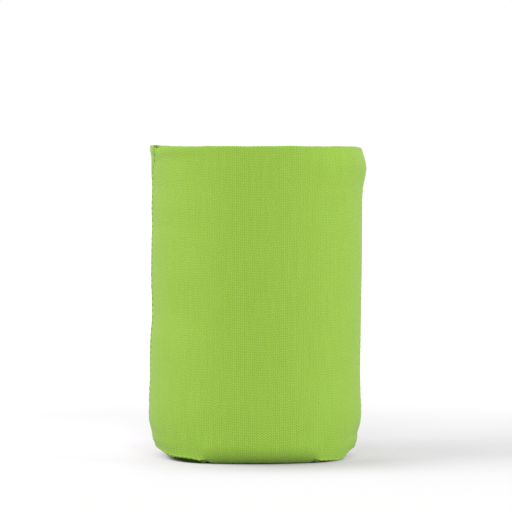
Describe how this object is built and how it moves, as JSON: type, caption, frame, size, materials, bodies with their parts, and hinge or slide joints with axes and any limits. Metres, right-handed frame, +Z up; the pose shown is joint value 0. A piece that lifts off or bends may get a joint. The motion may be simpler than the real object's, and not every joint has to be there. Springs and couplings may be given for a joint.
{
  "type": "can cooler sleeve",
  "caption": "Soft foam sleeve with a lime green knit face, open at the top, that slips over a drinks can and keeps it cool.",
  "frame": {"origin": "on the surface that the sleeve stands on, under the middle of its base", "axes": "+Z up along the sleeve's axis to its open rim; -Y out of the front panel, over the front fold; the side seams are at +X (right) and -X (left)"},
  "size_m": [0.0732, 0.0718, 0.1055],
  "materials": {
    "knit_faced_foam": "lime green polyester knit, matt with a faint sheen, bonded to soft foam",
    "sewing_thread": "polyester sewing thread, a little paler than the knit"
  },
  "bodies": {
    "root": {"sleeve_body": "knit_faced_foam", "right_side_needle_thread": "sewing_thread", "right_side_bobbin_thread": "sewing_thread", "right_base_needle_thread": "sewing_thread", "right_base_bobbin_thread": "sewing_thread", "left_side_needle_thread": "sewing_thread", "left_side_bobbin_thread": "sewing_thread", "left_base_needle_thread": "sewing_thread", "left_base_bobbin_thread": "sewing_thread"}
  },
  "joints": []
}
